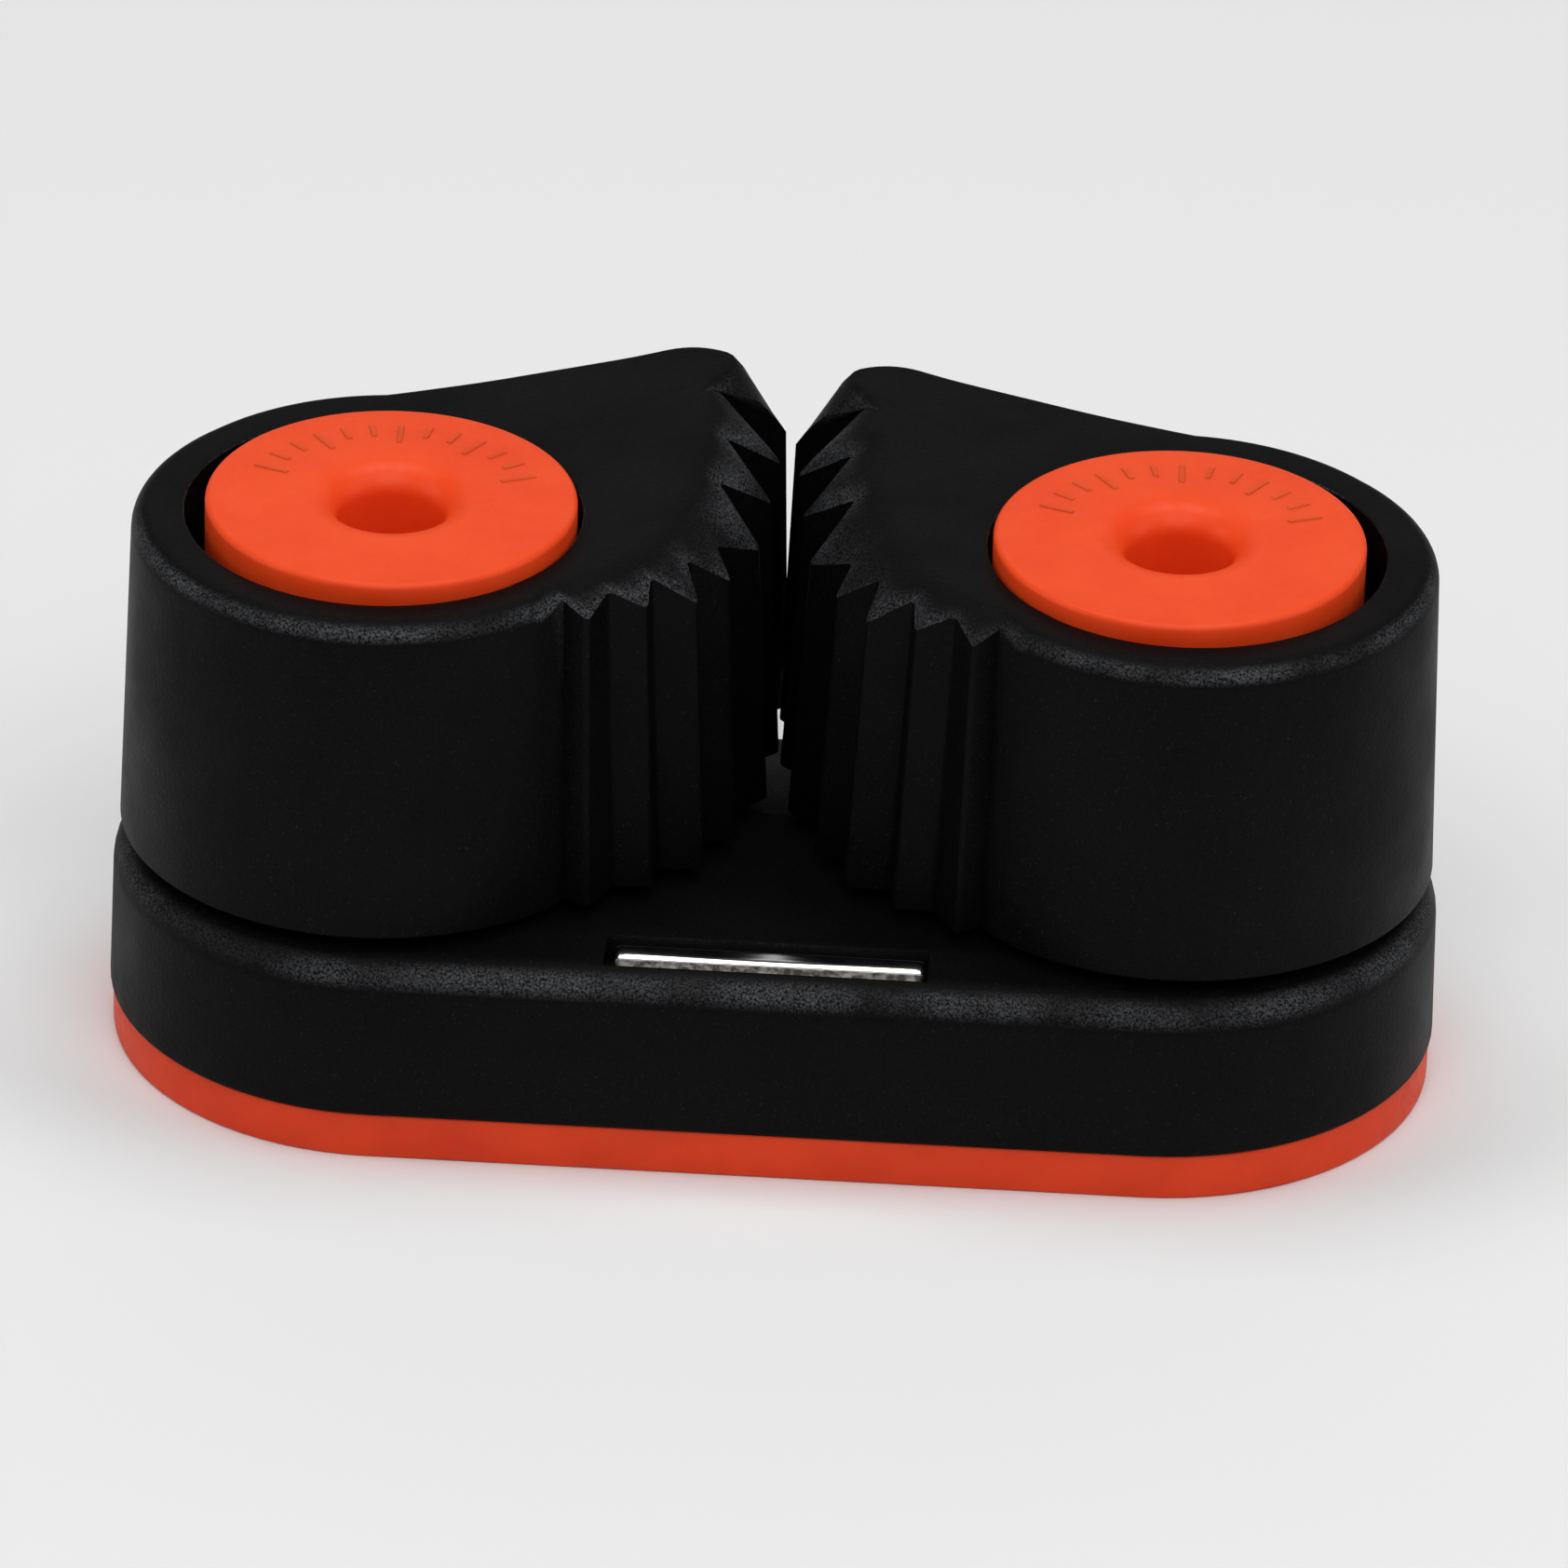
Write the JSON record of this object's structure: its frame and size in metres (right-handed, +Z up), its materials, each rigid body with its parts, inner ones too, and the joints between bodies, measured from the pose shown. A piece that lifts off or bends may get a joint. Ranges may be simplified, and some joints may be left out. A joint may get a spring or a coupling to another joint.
{
  "type": "cam cleat",
  "caption": "Ball-bearing cam cleat: sprung toothed cams turn on flanged posts above a screw-down base with an orange pad and a steel wear bar at the line's entry.",
  "frame": {"origin": "centre of the base pad's underside, on the deck", "axes": "+X from the left post to the right post as the loaded side is seen, -Y toward the load, +Z up off the deck"},
  "size_m": [0.065, 0.0331, 0.0291],
  "materials": {
    "black_composite": "semi-matte glass-filled composite",
    "orange_plastic": "satin moulded orange plastic",
    "orange_pad": "matte moulded orange plastic",
    "stainless": "polished stainless steel with wear marks",
    "spring_steel": "drawn stainless spring wire",
    "bearing_ball": "smooth black acetal balls"
  },
  "bodies": {
    "base": {"base_pad": "orange_pad", "base": "black_composite", "wear_bar": "stainless", "left_cap": "orange_plastic", "right_cap": "orange_plastic", "left_spring": "spring_steel", "right_spring": "spring_steel"},
    "left_cam": {"left_cam": "black_composite"},
    "right_cam": {"right_cam": "black_composite"},
    "left_balls": {"left_lower_ball_01": "bearing_ball", "left_lower_ball_02": "bearing_ball", "left_lower_ball_03": "bearing_ball", "left_lower_ball_04": "bearing_ball", "left_lower_ball_05": "bearing_ball", "left_lower_ball_06": "bearing_ball", "left_lower_ball_07": "bearing_ball", "left_lower_ball_08": "bearing_ball", "left_lower_ball_09": "bearing_ball", "left_lower_ball_10": "bearing_ball", "left_upper_ball_01": "bearing_ball", "left_upper_ball_02": "bearing_ball", "left_upper_ball_03": "bearing_ball", "left_upper_ball_04": "bearing_ball", "left_upper_ball_05": "bearing_ball", "left_upper_ball_06": "bearing_ball", "left_upper_ball_07": "bearing_ball", "left_upper_ball_08": "bearing_ball", "left_upper_ball_09": "bearing_ball", "left_upper_ball_10": "bearing_ball"},
    "right_balls": {"right_lower_ball_01": "bearing_ball", "right_lower_ball_02": "bearing_ball", "right_lower_ball_03": "bearing_ball", "right_lower_ball_04": "bearing_ball", "right_lower_ball_05": "bearing_ball", "right_lower_ball_06": "bearing_ball", "right_lower_ball_07": "bearing_ball", "right_lower_ball_08": "bearing_ball", "right_lower_ball_09": "bearing_ball", "right_lower_ball_10": "bearing_ball", "right_upper_ball_01": "bearing_ball", "right_upper_ball_02": "bearing_ball", "right_upper_ball_03": "bearing_ball", "right_upper_ball_04": "bearing_ball", "right_upper_ball_05": "bearing_ball", "right_upper_ball_06": "bearing_ball", "right_upper_ball_07": "bearing_ball", "right_upper_ball_08": "bearing_ball", "right_upper_ball_09": "bearing_ball", "right_upper_ball_10": "bearing_ball"}
  },
  "joints": [
    {"name": "left_cam_pivot", "type": "hinge", "parent": "base", "child": "left_cam", "pos_m": [-0.019, 0, 0.02], "axis": [0, 0, 1], "range_deg": [0, 42], "stiffness_Nm_per_rad": 0.03, "springref_deg": -20.05, "deforming": ["left_spring"]},
    {"name": "right_cam_pivot", "type": "hinge", "parent": "base", "child": "right_cam", "pos_m": [0.019, 0, 0.02], "axis": [0, 0, -1], "range_deg": [0, 42], "stiffness_Nm_per_rad": 0.03, "springref_deg": -20.05, "deforming": ["right_spring"]},
    {"name": "left_ball_orbit", "type": "hinge", "parent": "base", "child": "left_balls", "pos_m": [-0.019, 0, 0.02], "axis": [0, 0, 1], "range_deg": [0, 27.3]},
    {"name": "right_ball_orbit", "type": "hinge", "parent": "base", "child": "right_balls", "pos_m": [0.019, 0, 0.02], "axis": [0, 0, -1], "range_deg": [0, 27.3]}
  ],
  "couplings": [
    {"joint": "left_ball_orbit", "follows": "left_cam_pivot", "ratio": 0.6429},
    {"joint": "right_ball_orbit", "follows": "right_cam_pivot", "ratio": 0.6429}
  ]
}
